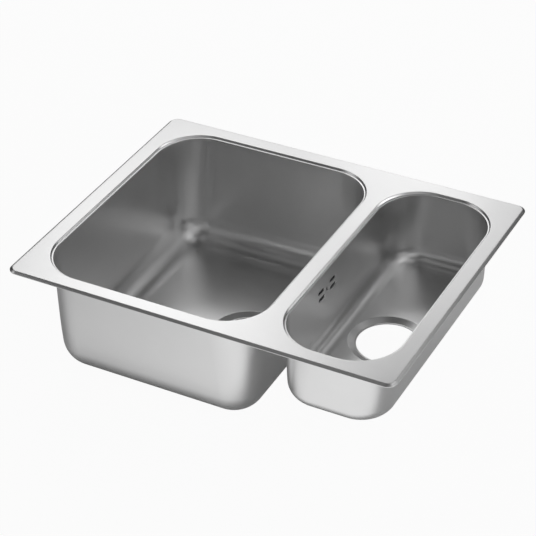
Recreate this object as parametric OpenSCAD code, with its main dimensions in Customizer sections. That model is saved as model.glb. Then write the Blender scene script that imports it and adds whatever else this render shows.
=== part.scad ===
// Inset kitchen sink with one and a half bowls, in stainless steel sheet.
// The origin is the centre of the worktop's cut-out, at the height of the worktop's top.
// X runs along the front edge, Y towards the back and Z up. Sizes are millimetres and degrees.

/* [Deck] */
// Outside width, over the sloping lip
deck_w = 580; // [540:1:640]
// Outside depth, front to back, over the sloping lip
deck_d = 460; // [430:1:520]
// Outside radius of the deck's corners
corner_r = 15; // [8:0.5:30]
// Thickness of the steel sheet
sheet = 1; // [0.8:0.05:1.2]
// Width of the sloping lip round the deck
lip_run = 3.9; // [3:0.1:6]
// Height that the lip falls by
lip_drop = 2.7; // [2:0.1:4]
// How far the rim laps over the worktop outside its cut-out
lap = 10; // [9:0.5:14]

/* [Openings] */
// From the deck's left edge to the large opening
rim_left = 25.8; // [25.5:0.1:34]
// From the small opening to the deck's right edge
rim_right = 24.4; // [24:0.1:34]
// From the deck's front edge to both openings
rim_front = 23.6; // [23.6:0.1:34]
// From both openings to the deck's back edge
rim_back = 25.7; // [25:0.1:60]
// Width of the bridge between the two openings
bridge = 22.3; // [18:0.1:40]
// Width of the small opening
small_w = 169.1; // [165:0.1:200]
// Corner radius of both openings
open_r = 69; // [66:0.5:80]
// Width of the pressed step round an opening
step_run = 1.6; // [1:0.1:3]
// Height of the pressed step
step_drop = 2.4; // [1.5:0.1:3]
// Width of the ledge below the step, which carries the bowl's flange
ledge_run = 2.4; // [2:0.1:4]
// Height that the ledge falls by towards the bowl
ledge_drop = 1.1; // [0.5:0.1:1.5]

/* [Bowls] */
// Depth of the large bowl, from the deck's top to its floor
large_depth = 178; // [140:0.5:210]
// Depth of the small bowl, from the deck's top to its floor
small_depth = 112; // [90:0.5:125]
// Angle that the walls lean in by
draft = 3.5; // [1:0.1:4]
// Radius between the large bowl's walls and floor
large_fillet = 42; // [20:0.5:45]
// Radius between the small bowl's walls and floor
small_fillet = 22; // [18:0.5:23]

/* [Drains] */
// Diameter of the hole for a 3 1/2 inch waste
drain_d = 89; // [80:0.5:95]
// Outside diameter of the recess for the waste's flange
recess_d = 113; // [108:0.5:115]
// Depth of the recess
recess_depth = 4; // [2:0.1:8]
// Width of the recess's sloping side
recess_slope = 2.5; // [1:0.1:5]
// From the large opening's right edge to its drain's centre
large_drain_in = 113.6; // [110:0.1:180]
// From the small opening's right edge to its drain's centre
small_drain_in = 82; // [81:0.1:88]
// From the large opening's front edge to its drain's centre
large_drain_back = 201.5; // [130:0.5:250]
// From the small opening's front edge to its drain's centre
small_drain_back = 197; // [130:0.5:250]

/* [Overflow] */
// Length of each overflow slot
slot_l = 17.4; // [10:0.1:22]
// Height of each overflow slot
slot_h = 3.8; // [2:0.1:5]
// Distance between the two columns of slots
slot_pitch_y = 34.6; // [30:0.1:45]
// Distance between the two rows of slots
slot_pitch_z = 10.8; // [8:0.1:14]
// Diameter of the hole for the overflow's screw
overflow_screw_d = 5.5; // [4:0.1:6.5]
// From the deck's top down to the overflow's centre
overflow_down = 32.6; // [28:0.1:45]
// From the openings' front edge to the overflow's centre
overflow_back = 171.5; // [100:0.5:260]

/* [Seal and pads] */
// Width of the foam seal under the rim
seal_w = 5; // [3:0.1:6]
// Space between the cut-out's edge and the seal
seal_gap = 0.4; // [0.2:0.1:1]
// Thickness of the sound pads
pad_t = 2; // [1:0.1:3]
// Space round the sound pads, to the fillet and to the drain's recess
pad_margin = 12; // [8:0.5:18]
// Corner radius of the sound pads
pad_r = 8; // [2:0.5:15]

/* [Clamps] */
// Distance of the front and back clamps from the middle of the sink
clamp_x = 170; // [120:1:200]
// Distance of the side clamps from the middle of the sink
clamp_y = 110; // [60:1:150]
// Space between the cut-out's edge and a clamp that is open
clamp_clear = 1.8; // [1.5:0.1:2.2]
// Thickness of the lugs' sheet
lug_t = 1; // [0.8:0.1:1.2]
// Space between a lug's two cheeks
lug_inside = 10; // [9.4:0.1:12]
// Height of a lug, from the deck's underside to the underside of its foot
lug_h = 12.9; // [12.5:0.1:14]
// Thickness of the claws' sheet
claw_t = 1.2; // [1:0.1:1.4]
// Height of a claw below its pivot
claw_h = 8.5; // [8:0.1:9]
// Angle that a claw swings out by
claw_swing = 24; // [10:1:26]
// Number of teeth on a claw
claw_teeth = 5; // [3:1:7]
// Diameter of the pivot pins
pin_d = 2.2; // [1.8:0.1:2.4]
// From the cut-out's edge in to the pivot pins
pin_in = 4.2; // [4:0.1:4.6]
// From the deck's underside down to the pivot pins
pin_down = 3.7; // [3.6:0.1:4.5]
// Diameter of the clamp screws
screw_d = 4; // [3:0.1:4]
// From the cut-out's edge in to the clamp screws
screw_in = 10.2; // [10:0.1:10.6]
// Rise of the screws' thread in one turn
thread_pitch = 0.7; // [0.5:0.05:0.8]
// Turns of a screw from open to fully clamped
screw_turns = 8; // [4:1:8]
// Diameter of the screws' heads
head_d = 7.6; // [6:0.1:8]
// Height of the screws' heads
head_h = 2.4; // [1.8:0.1:2.8]
// Height of the wedge nuts
nut_h = 3; // [2.4:0.1:3.2]
// Length of the wedge nuts, square to the cut-out's edge
nut_l = 6.2; // [5.6:0.1:6.6]

/* [Clearances] */
// Radial clearance of a turning fit
run_fit = 0.05; // [0.02:0.01:0.1]
// Space between pieces that move past each other
play = 0.3; // [0.2:0.05:0.4]
// Space between a screw's head or collar and the lug's foot
end_play = 0.1; // [0.05:0.05:0.2]

/* [Hidden] */

$fn = 96;
head_fn = 48;
// How far a cut runs past the faces it opens
cut_over = 1;
// Length of the overflow's cuts, through the small bowl's wall and clear of the rest
overflow_cut = 12;
// Radius of a screw head's round edge
head_round = 1.4;
// Length, width and depth of the cross in a screw's head
drive = [4.6, 1, 1.3];
// Height and overhang of a screw's collar
collar_h = 0.6;
// Height and overhang of a pin's riveted heads
rivet_t = 0.7;
// Number of steps in the edge of a claw's ears
cam_steps = 8;

// Heights, measured from the worktop's top
lip_angle = atan(lip_drop / lip_run);
deck_top = lip_drop + sheet / cos(lip_angle);
deck_under = deck_top - sheet;

// Outlines as [low x, high x, low y, high y]
flat_box = [-deck_w / 2 + lip_run, deck_w / 2 - lip_run, -deck_d / 2 + lip_run, deck_d / 2 - lip_run];
flat_r = corner_r - lip_run;
open_y0 = -deck_d / 2 + rim_front;
open_y1 = deck_d / 2 - rim_back;
small_x1 = deck_w / 2 - rim_right;
small_x0 = small_x1 - small_w;
large_x0 = -deck_w / 2 + rim_left;
large_x1 = small_x0 - bridge;
large_open = [large_x0, large_x1, open_y0, open_y1];
small_open = [small_x0, small_x1, open_y0, open_y1];
cut_w = deck_w - 2 * lap;
cut_d = deck_d - 2 * lap;

// The pressed step and ledge round an opening
step_angle = atan(step_drop / step_run);
ledge_angle = atan(ledge_drop / ledge_run);
mouth_in = step_run + ledge_run;
mouth_r = open_r - mouth_in;
ledge_low = deck_top - step_drop - ledge_drop;
flange_top = ledge_low - sheet / cos(ledge_angle);

// The drains, whose recess leans in by recess_slope
recess_r = recess_d / 2;
recess_angle = atan(recess_depth / recess_slope);
large_drain = [large_x1 - large_drain_in, open_y0 + large_drain_back];
small_drain = [small_x1 - small_drain_in, open_y0 + small_drain_back];

// The clamps. Each is drawn at the middle of a cut-out's edge, with +X out through the edge
plate_in = rim_front - lap - sheet;
pin_z = deck_under - pin_down;
foot_z = deck_under - lug_h;
nut_top = deck_under - lug_t - play;
nut_travel = thread_pitch * screw_turns;
nut_out = screw_in - nut_l / 2;
ear_out = lug_inside / 2 - play;
cheek_out = lug_inside / 2 + lug_t;
CLAMPS = [
  ["front_left", -clamp_x, -cut_d / 2, -90],
  ["front_right", clamp_x, -cut_d / 2, -90],
  ["right_front", cut_w / 2, -clamp_y, 0],
  ["right_back", cut_w / 2, clamp_y, 0],
  ["back_right", clamp_x, cut_d / 2, 90],
  ["back_left", -clamp_x, cut_d / 2, 90],
  ["left_back", -cut_w / 2, clamp_y, 180],
  ["left_front", -cut_w / 2, -clamp_y, 180]
];

// A box drawn in or out by a distance
function inset(box, by) = [box[0] + by, box[1] - by, box[2] + by, box[3] - by];

// A rectangle with round corners
module round_rect(box, r) {
  translate([box[0] + r, box[2]]) square([box[1] - box[0] - 2 * r, box[3] - box[2]]);
  translate([box[0], box[2] + r]) square([box[1] - box[0], box[3] - box[2] - 2 * r]);
  for (x = [box[0] + r, box[1] - r])
    for (y = [box[2] + r, box[3] - r])
      translate([x, y]) circle(r);
}

// Sweeps a flat profile round a rectangle with round corners. The profile's x is the
// distance outside the outline and its y is the height
module sweep_round(box, r) {
  w = box[1] - box[0];
  d = box[3] - box[2];
  translate([(box[0] + box[1]) / 2, (box[2] + box[3]) / 2, 0])
    for (i = [0 : 3]) {
      across = i % 2 == 0 ? w : d;
      along = i % 2 == 0 ? d : w;
      rotate([0, 0, 90 * i]) {
        translate([across / 2 - r, along / 2 - r, 0])
          rotate_extrude(angle = 90)
            translate([r, 0]) children();
        translate([across / 2, along / 2 - r, 0])
          rotate([90, 0, 0])
            linear_extrude(along - 2 * r) children();
      }
    }
}

// Where a folded sheet's underside turns, for each millimetre of its thickness, when the
// sheet's fall changes from angle a to angle b on the way in
function turn(a, b) =
  let (na = [sin(a), -cos(a)], nb = [sin(b), -cos(b)])
  (na + nb) / (1 + na * nb);

// The deck's sloping lip, outside its flat top
module lip_profile() {
  under = sheet * turn(0, lip_angle);
  polygon([[0, deck_top], [lip_run, deck_top - lip_drop], [lip_run, 0], [-under[0], deck_top + under[1]]]);
}

// The pressed step and ledge, inside an opening's outline
module step_profile() {
  edge = [0, deck_top];
  foot = [-step_run, deck_top - step_drop];
  polygon([
    edge, foot, [-mouth_in, ledge_low], [-mouth_in, flange_top],
    foot + sheet * turn(step_angle, ledge_angle), edge + sheet * turn(0, step_angle)
  ]);
}

module deck() {
  color("gainsboro") {
    difference() {
      translate([0, 0, deck_under]) linear_extrude(sheet) round_rect(flat_box, flat_r);
      for (opening = [large_open, small_open])
        translate([0, 0, deck_under - cut_over])
          linear_extrude(sheet + 2 * cut_over) round_rect(opening, open_r);
    }
    sweep_round(flat_box, flat_r) lip_profile();
    for (opening = [large_open, small_open])
      sweep_round(opening, open_r) step_profile();
  }
}

// Height of a bowl's floor, and how far inside the mouth the floor's radius ends, to a micron
function floor_z(depth) = deck_top - depth;
function wall_h(depth, fillet) = flange_top - floor_z(depth) - fillet;
function fillet_in(depth, fillet) =
  fillet + round(1000 * tan(draft) * wall_h(depth, fillet)) / 1000;

// A bowl's weld flange, drafted wall and floor radius, outside the outline of its mouth and
// above its floor
module bowl_profile(depth, fillet) {
  top = [fillet_in(depth, fillet), wall_h(depth, fillet)];
  rim = top + [ledge_run, ledge_drop];
  translate([-fillet_in(depth, fillet), fillet]) {
    polygon([
      rim, top, [fillet, 0], [fillet + sheet, 0],
      top + sheet * turn(ledge_angle, 90 - draft), rim - [0, sheet / cos(ledge_angle)]
    ]);
    intersection() {
      difference() {
        circle(fillet + sheet);
        circle(fillet);
      }
      translate([0, -2 * fillet]) square(2 * fillet);
    }
  }
}

// Half the section of a drain's recess, at the thickness given, from its hole's axis out
module recess_section(t, top) {
  under = t * turn(0, recess_angle);
  low = t * turn(recess_angle, 0);
  edge = recess_r + under[0];
  polygon([
    [0, top], [edge, top], [edge, under[1]],
    [recess_r - recess_slope + low[0], -recess_depth + low[1]], [0, -recess_depth + low[1]]
  ]);
}

// A pressed bowl under one of the deck's openings
module bowl(opening, depth, fillet, drain) {
  mouth = inset(opening, mouth_in);
  flat_in = fillet_in(depth, fillet);
  translate([0, 0, floor_z(depth)])
    difference() {
      union() {
        sweep_round(mouth, mouth_r) bowl_profile(depth, fillet);
        translate([0, 0, -sheet]) linear_extrude(sheet) round_rect(inset(mouth, flat_in), mouth_r - flat_in);
        translate([drain[0], drain[1], 0]) rotate_extrude() recess_section(sheet, 0);
      }
      translate([drain[0], drain[1], 0]) rotate_extrude() recess_section(0, fillet);
      translate([drain[0], drain[1], -recess_depth - sheet - cut_over])
        cylinder(d = drain_d, h = sheet + 2 * cut_over);
    }
}

module large_bowl() {
  color("lightgrey") bowl(large_open, large_depth, large_fillet, large_drain);
}

// A slot with round ends, through the left wall of the small bowl
module overflow_slot() {
  run = slot_l - slot_h;
  translate([0, -run / 2, -slot_h / 2]) cube([overflow_cut, run, slot_h]);
  for (y = [-run / 2, run / 2])
    translate([0, y, 0]) rotate([0, 90, 0]) cylinder(d = slot_h, h = overflow_cut);
}

module small_bowl() {
  color("lightgrey")
    difference() {
      bowl(small_open, small_depth, small_fillet, small_drain);
      translate([small_x0 + mouth_in - overflow_cut / 2, open_y0 + overflow_back, deck_top - overflow_down]) {
        for (y = [-slot_pitch_y / 2, slot_pitch_y / 2])
          for (z = [-slot_pitch_z / 2, slot_pitch_z / 2])
            translate([0, y, z]) overflow_slot();
        rotate([0, 90, 0]) cylinder(d = overflow_screw_d, h = overflow_cut);
      }
    }
}

// The seal lies on the worktop between the cut-out and the lip
module rim_seal() {
  hole = [-cut_w / 2 - seal_gap, cut_w / 2 + seal_gap, -cut_d / 2 - seal_gap, cut_d / 2 + seal_gap];
  color("dimgray")
    linear_extrude(deck_under)
      difference() {
        round_rect(inset(hole, -seal_w), flat_r);
        round_rect(hole, flat_r - seal_w / 2);
      }
}

// The flat part of a bowl's floor, as seen from above
function flat_floor(opening, depth, fillet) =
  inset(opening, mouth_in + fillet_in(depth, fillet) + pad_margin);

module sound_pad(box, depth) {
  color("dimgray")
    translate([0, 0, floor_z(depth) - sheet - pad_t]) linear_extrude(pad_t) round_rect(box, pad_r);
}

// Fills the floor to the left of the drain
module large_sound_pad() {
  floor_box = flat_floor(large_open, large_depth, large_fillet);
  sound_pad([floor_box[0], large_drain[0] - recess_r - pad_margin, floor_box[2], floor_box[3]], large_depth);
}

// Fills the floor behind the drain
module small_sound_pad() {
  floor_box = flat_floor(small_open, small_depth, small_fillet);
  sound_pad([floor_box[0], floor_box[1], small_drain[1] + recess_r + pad_margin, floor_box[3]], small_depth);
}

// Puts what it is given at a clamp's place
module at_clamp(clamp) {
  translate([clamp[1], clamp[2], 0]) rotate([0, 0, clamp[3]]) children();
}

function clamp_named(name) = [for (c = CLAMPS) if (c[0] == name) c][0];

// A hole across a lug, along its pin
module across(d, length) {
  translate([-pin_in, 0, pin_z]) rotate([90, 0, 0]) cylinder(d = d, h = length, center = true, $fn = head_fn);
}

// Folded lug: a plate under the deck, two cheeks and a foot that holds the screw's head
module lug() {
  foot_out = screw_in - head_d / 2;
  foot_in = screw_in + head_d / 2;
  cheek = [
    [-clamp_clear, deck_under], [-plate_in, deck_under], [-plate_in, pin_z - pin_d],
    [-foot_in, pin_z - pin_d - (foot_in - plate_in)], [-foot_in, foot_z], [-foot_out, foot_z],
    [-clamp_clear, pin_z - pin_d]
  ];
  difference() {
    union() {
      translate([-plate_in, -cheek_out, deck_under - lug_t])
        cube([plate_in - clamp_clear, 2 * cheek_out, lug_t]);
      for (y = [lug_inside / 2, -cheek_out])
        translate([0, y + lug_t, 0]) rotate([90, 0, 0]) linear_extrude(lug_t) polygon(cheek);
      translate([-foot_in, -cheek_out, foot_z]) cube([head_d, 2 * cheek_out, lug_t]);
    }
    across(pin_d, 2 * (cheek_out + cut_over));
    translate([-screw_in, 0, foot_z - cut_over])
      cylinder(d = screw_d + 2 * run_fit, h = lug_h + 2 * cut_over, $fn = head_fn);
  }
}

module clamp_lugs() {
  color("silver")
    for (clamp = CLAMPS)
      at_clamp(clamp) lug();
}

// A pivot pin riveted over both cheeks of a lug
module clamp_pin() {
  across(pin_d, 2 * cheek_out);
  for (y = [-1, 1])
    translate([0, y * (cheek_out + rivet_t / 2), 0]) across(pin_d + 2 * rivet_t, rivet_t);
}

module clamp_pins() {
  color("silver")
    for (clamp = CLAMPS)
      at_clamp(clamp) clamp_pin();
}

// A captive screw: pan head under the lug's foot, a pressed collar above it
module clamp_screw(clamp) {
  head_top = foot_z - end_play;
  collar_z = foot_z + lug_t + end_play;
  color("silver")
    at_clamp(clamp)
      translate([-screw_in, 0, 0])
        difference() {
          union() {
            translate([0, 0, head_top])
              cylinder(d = screw_d, h = deck_under - play - head_top, $fn = head_fn);
            translate([0, 0, collar_z])
              cylinder(d = screw_d + 2 * collar_h, h = collar_h, $fn = head_fn);
            translate([0, 0, head_top - head_h]) rotate_extrude($fn = head_fn) head_section();
          }
          for (angle = [0, 90])
            translate([0, 0, head_top - head_h])
              rotate([0, 0, angle]) cube([drive[0], drive[1], 2 * drive[2]], center = true);
        }
}

// Half the section of a pan head, its flat side up
module head_section() {
  square([head_d / 2 - head_round, head_h]);
  translate([0, head_round]) square([head_d / 2, head_h - head_round]);
  intersection() {
    translate([head_d / 2 - head_round, head_round]) circle(head_round);
    square([head_d / 2, head_h]);
  }
}

// A wedge nut: its lower outer corner pushes the claw's ears
module clamp_nut(clamp) {
  width = 2 * ear_out;
  color("silver")
    at_clamp(clamp)
      difference() {
        translate([-nut_out - nut_l, -width / 2, nut_top - nut_h]) cube([nut_l, width, nut_h]);
        translate([-screw_in, 0, nut_top - nut_h - cut_over])
          cylinder(d = screw_d + 2 * run_fit, h = nut_h + 2 * cut_over, $fn = head_fn);
      }
}

// Where the nut's pushing corner meets the claw, seen from the claw: [in, down] from its pivot,
// when the nut has gone a share of its travel
function contact(share) =
  let (
    angle = claw_swing * share,
    in = nut_out - pin_in,
    down = pin_z - nut_top + nut_h + nut_travel * share
  )
  [in * cos(angle) + down * sin(angle), down * cos(angle) - in * sin(angle)];

// The ears' edge lies a little outside the corner's path
function cam_point(i) =
  let (
    here = contact(i / cam_steps),
    along = contact(min(i + 1, cam_steps) / cam_steps) - contact(max(i - 1, 0) / cam_steps),
    away = [-along[1], along[0]] / norm(along)
  )
  here + play * away;

// One ear of a claw, in its own plane
module ear_outline() {
  web = pin_in - clamp_clear - claw_t;
  last = cam_point(cam_steps);
  circle(r = pin_in - clamp_clear - play, $fn = head_fn);
  polygon(concat(
    [[-web, 0]],
    [for (i = [0 : cam_steps]) [cam_point(i)[0], -cam_point(i)[1]]],
    [[last[0] - play, -last[1] - claw_t], [-web, -claw_h + claw_t]]
  ));
}

// A toothed claw: a plate along the cut-out's edge and two ears round the screw
module clamp_claw(clamp) {
  width = 2 * ear_out;
  tooth = width / claw_teeth;
  teeth = [for (i = [0 : claw_teeth - 1]) each [
    [-ear_out + tooth * i, -claw_h + tooth / 2], [-ear_out + tooth * (i + 0.5), -claw_h]
  ]];
  plate = concat([[-ear_out, 0]], teeth, [[ear_out, -claw_h + tooth / 2], [ear_out, 0]]);
  color("silver")
    at_clamp(clamp)
      translate([-pin_in, 0, pin_z])
        difference() {
          union() {
            translate([pin_in - clamp_clear - claw_t, 0, 0])
              rotate([90, 0, 90]) linear_extrude(claw_t) polygon(plate);
            for (y = [-ear_out + claw_t, ear_out])
              translate([0, y, 0])
                rotate([90, 0, 0]) linear_extrude(claw_t) mirror([1, 0]) ear_outline();
          }
          rotate([90, 0, 0]) cylinder(d = pin_d + 2 * run_fit, h = 2 * width, center = true, $fn = head_fn);
        }
}

deck();
large_bowl();
small_bowl();
rim_seal();
large_sound_pad();
small_sound_pad();
clamp_lugs();
clamp_pins();
clamp_screw(clamp_named("front_left"));  // screw_front_left
clamp_nut(clamp_named("front_left"));  // nut_front_left
clamp_claw(clamp_named("front_left"));  // claw_front_left
clamp_screw(clamp_named("front_right"));  // screw_front_right
clamp_nut(clamp_named("front_right"));  // nut_front_right
clamp_claw(clamp_named("front_right"));  // claw_front_right
clamp_screw(clamp_named("right_front"));  // screw_right_front
clamp_nut(clamp_named("right_front"));  // nut_right_front
clamp_claw(clamp_named("right_front"));  // claw_right_front
clamp_screw(clamp_named("right_back"));  // screw_right_back
clamp_nut(clamp_named("right_back"));  // nut_right_back
clamp_claw(clamp_named("right_back"));  // claw_right_back
clamp_screw(clamp_named("back_right"));  // screw_back_right
clamp_nut(clamp_named("back_right"));  // nut_back_right
clamp_claw(clamp_named("back_right"));  // claw_back_right
clamp_screw(clamp_named("back_left"));  // screw_back_left
clamp_nut(clamp_named("back_left"));  // nut_back_left
clamp_claw(clamp_named("back_left"));  // claw_back_left
clamp_screw(clamp_named("left_back"));  // screw_left_back
clamp_nut(clamp_named("left_back"));  // nut_left_back
clamp_claw(clamp_named("left_back"));  // claw_left_back
clamp_screw(clamp_named("left_front"));  // screw_left_front
clamp_nut(clamp_named("left_front"));  // nut_left_front
clamp_claw(clamp_named("left_front"));  // claw_left_front
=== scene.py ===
"""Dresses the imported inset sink: satin sheet steel, foam seal, sound pads and rim clamps.

Sizes are in millimetres, as in the part's source. Every mesh is in metres, in the part's own
frame: X along the front edge, Y to the back and Z up from the worktop's top.
"""

import logging
import math
from collections.abc import Sequence
from dataclasses import dataclass
from enum import Enum
from typing import Any

import bmesh
import bpy
from bmesh.types import BMEdge, BMesh, BMVert
from mathutils import Matrix, Quaternion, Vector


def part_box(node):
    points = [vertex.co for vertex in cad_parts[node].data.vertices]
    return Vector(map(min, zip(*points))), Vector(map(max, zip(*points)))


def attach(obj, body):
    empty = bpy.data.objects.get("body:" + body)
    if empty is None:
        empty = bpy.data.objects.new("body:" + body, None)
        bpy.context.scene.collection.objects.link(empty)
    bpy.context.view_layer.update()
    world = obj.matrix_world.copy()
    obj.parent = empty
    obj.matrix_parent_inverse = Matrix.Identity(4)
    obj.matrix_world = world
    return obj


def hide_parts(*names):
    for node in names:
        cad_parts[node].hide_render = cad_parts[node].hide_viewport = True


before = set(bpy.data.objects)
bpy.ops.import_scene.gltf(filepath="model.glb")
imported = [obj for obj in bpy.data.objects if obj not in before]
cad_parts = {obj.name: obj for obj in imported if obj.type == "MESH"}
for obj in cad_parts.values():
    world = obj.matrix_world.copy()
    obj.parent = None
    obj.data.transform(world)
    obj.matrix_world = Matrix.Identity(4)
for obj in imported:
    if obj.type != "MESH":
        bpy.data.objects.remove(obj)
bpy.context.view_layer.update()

LOG = logging.getLogger("sink")
Sockets = dict[str | int, Any]
MM = 0.001
WELD_DISTANCE = 5e-6
SMOOTH_ANGLE = math.radians(35)
FLAT_ANGLE = math.radians(0.5)

# The flat that a swept section keeps beside its outline, until fill_level fills the rest.
STRIP = 2.0

# The sockets of a Mix node for colours, by number, because its names repeat.
MIX_SHARE, MIX_LOW, MIX_HIGH, MIX_COLOUR = 0, 6, 7, 2


@dataclass(frozen=True)
class Wire:
    """A node's output that takes part in arithmetic, and the shop that adds the nodes."""

    shop: "NodeShop"
    socket: bpy.types.NodeSocket

    def __add__(self, other: "Wire | float") -> "Wire":
        """Adds a value."""
        return self.shop.maths("ADD", self, other)

    __radd__ = __add__

    def __mul__(self, other: "Wire | float") -> "Wire":
        """Multiplies by a value."""
        return self.shop.maths("MULTIPLY", self, other)

    __rmul__ = __mul__

    def __sub__(self, other: "Wire | float") -> "Wire":
        """Takes a value away."""
        return self.shop.maths("SUBTRACT", self, other)

    def __rsub__(self, other: float) -> "Wire":
        """Takes this wire away from a number."""
        return self.shop.maths("SUBTRACT", other, self)


class NodeShop:
    """Adds nodes to one material or world."""

    def __init__(self, owner: bpy.types.Material | bpy.types.World) -> None:
        """Empties the owner's node tree.

        Args:
            owner: The material or world that the nodes are for.
        """
        owner.use_nodes = True
        self.tree = owner.node_tree
        self.tree.nodes.clear()

    def node(
        self,
        kind: str,
        settings: dict[str, Any] | None = None,
        sockets: Sockets | None = None,
        result: str | int = 0,
    ) -> Wire:
        """Adds one node.

        Args:
            kind: The node's type.
            settings: Its settings, which are set first.
            sockets: Values or wires for its inputs, by name or number.
            result: The output to give back, by name or number.

        Returns:
            The output, ready for arithmetic.
        """
        made = self.tree.nodes.new(kind)
        for name, value in (settings or {}).items():
            setattr(made, name, value)
        for name, value in (sockets or {}).items():
            if isinstance(value, Wire):
                self.tree.links.new(value.socket, made.inputs[name])
            else:
                made.inputs[name].default_value = value
        return Wire(self, made.outputs[result] if made.outputs else made.inputs[0])

    def maths(self, operation: str, *values: Wire | float) -> Wire:
        """Adds a Math node, with its values in order."""
        return self.node("ShaderNodeMath", {"operation": operation}, dict(enumerate(values)))

    def pattern(self, scale: tuple[float, float, float], detail: float = 2.0) -> Wire:
        """Makes a noise on the piece's own coordinates.

        Args:
            scale: Cycles per metre along X, Y and Z.
            detail: The noise's detail.

        Returns:
            The noise, about 0.5.
        """
        place = self.node("ShaderNodeTexCoord", result="Object")
        fitted = self.node("ShaderNodeMapping", sockets={"Vector": place, "Scale": scale})
        return self.node(
            "ShaderNodeTexNoise", sockets={"Vector": fitted, "Scale": 1.0, "Detail": detail}
        )

    def cells(self, scale: float) -> Wire:
        """Makes a pattern of cells on the piece's own coordinates.

        Args:
            scale: Cells per metre.

        Returns:
            The distance from each cell's middle.
        """
        place = self.node("ShaderNodeTexCoord", result="Object")
        return self.node(
            "ShaderNodeTexVoronoi", sockets={"Vector": place, "Scale": scale}, result="Distance"
        )

    def blend(self, share: Wire, low: Sequence[float], high: Sequence[float]) -> Wire:
        """Mixes two colours.

        Args:
            share: How much of the second colour there is, from 0 to 1.
            low: The first colour.
            high: The second colour.

        Returns:
            The mixed colour.
        """
        mix = self.tree.nodes.new("ShaderNodeMix")
        mix.data_type = "RGBA"
        self.tree.links.new(share.socket, mix.inputs[MIX_SHARE])
        mix.inputs[MIX_LOW].default_value = (*low, 1)
        mix.inputs[MIX_HIGH].default_value = (*high, 1)
        return Wire(self, mix.outputs[MIX_COLOUR])

    def bump(self, height: Wire, depth: float, under: Wire | None = None) -> Wire:
        """Adds relief.

        Args:
            height: The height, from 0 to 1.
            depth: What a height of 1 stands for, in metres.
            under: Relief that this one lies on.

        Returns:
            The bumped normal.
        """
        sockets: Sockets = {"Height": height, "Distance": depth, "Strength": 1.0}
        if under is not None:
            sockets["Normal"] = under
        return self.node("ShaderNodeBump", sockets=sockets)


@dataclass(frozen=True)
class Coating:
    """What every finish has. Each kind's values() fills the sockets of a Principled surface."""

    name: str
    tone: tuple[float, float, float]

    def shaded(self, by: float) -> tuple[float, ...]:
        """Gives the tone, made darker or paler by a factor."""
        return tuple(min(1.0, by * part) for part in self.tone)

    def make(self) -> bpy.types.Material:
        """Makes the material.

        Returns:
            The material.
        """
        material = bpy.data.materials.new(self.name)
        shop = NodeShop(material)
        surface = shop.node("ShaderNodeBsdfPrincipled", sockets=self.values(shop))
        shop.node("ShaderNodeOutputMaterial", sockets={"Surface": surface})
        return material


@dataclass(frozen=True)
class SatinSteel(Coating):
    """Satin-polished stainless steel with a faint grain and the waves left by pressing."""

    roughness: float
    grain: tuple[float, float, float]
    grain_spread: float = 0.04
    grain_depth: float = 2e-6
    mottle_scale: float = 23.0
    mottle_detail: float = 4.0
    mottle_shade: float = 0.94
    mottle_spread: float = 0.05
    wave_scale: float = 16.0
    wave_detail: float = 1.0
    wave_depth: float = 0.00012

    def values(self, shop: NodeShop) -> Sockets:
        """Makes the surface's patterns.

        Args:
            shop: Adds the nodes.

        Returns:
            The surface's sockets, by name.
        """
        mottle = shop.pattern((self.mottle_scale,) * 3, self.mottle_detail)
        grain = shop.pattern(self.grain)
        waves = shop.pattern((self.wave_scale,) * 3, self.wave_detail)
        dulled = self.roughness + (mottle - 0.5) * self.mottle_spread
        return {
            "Base Color": shop.blend(mottle, self.shaded(self.mottle_shade), self.tone),
            "Metallic": 1.0,
            "Roughness": dulled + (grain - 0.5) * self.grain_spread,
            "Normal": shop.bump(grain, self.grain_depth, shop.bump(waves, self.wave_depth)),
        }


@dataclass(frozen=True)
class ZincPlate(Coating):
    """Zinc on small steel parts, with the faint spangle of its crystals."""

    roughness: float
    spangle: float
    spangle_shade: float = 0.8
    cloud_scale: float = 300.0
    cloud_detail: float = 3.0
    cloud_spread: float = 0.15
    cloud_depth: float = 1e-5

    def values(self, shop: NodeShop) -> Sockets:
        """Makes the surface's patterns.

        Args:
            shop: Adds the nodes.

        Returns:
            The surface's sockets, by name.
        """
        cells = shop.cells(self.spangle)
        cloud = shop.pattern((self.cloud_scale,) * 3, self.cloud_detail)
        return {
            "Base Color": shop.blend(cells, self.shaded(self.spangle_shade), self.tone),
            "Metallic": 1.0,
            "Roughness": self.roughness + (cloud - 0.5) * self.cloud_spread,
            "Normal": shop.bump(cloud, self.cloud_depth),
        }


@dataclass(frozen=True)
class Elastomer(Coating):
    """Dull foam or damping sheet, with pores or pimples."""

    pores: float
    pore_depth: float
    pore_spread: float = 0.15
    roughness: float = 0.8
    dust_scale: float = 60.0
    dust_detail: float = 4.0
    dust_shade: float = 1.5

    def values(self, shop: NodeShop) -> Sockets:
        """Makes the surface's patterns.

        Args:
            shop: Adds the nodes.

        Returns:
            The surface's sockets, by name.
        """
        cells = shop.cells(self.pores)
        dust = shop.pattern((self.dust_scale,) * 3, self.dust_detail)
        return {
            "Base Color": shop.blend(dust, self.tone, self.shaded(self.dust_shade)),
            "Roughness": self.roughness + (cells - 0.5) * self.pore_spread,
            "Normal": shop.bump(cells, self.pore_depth),
        }


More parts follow.
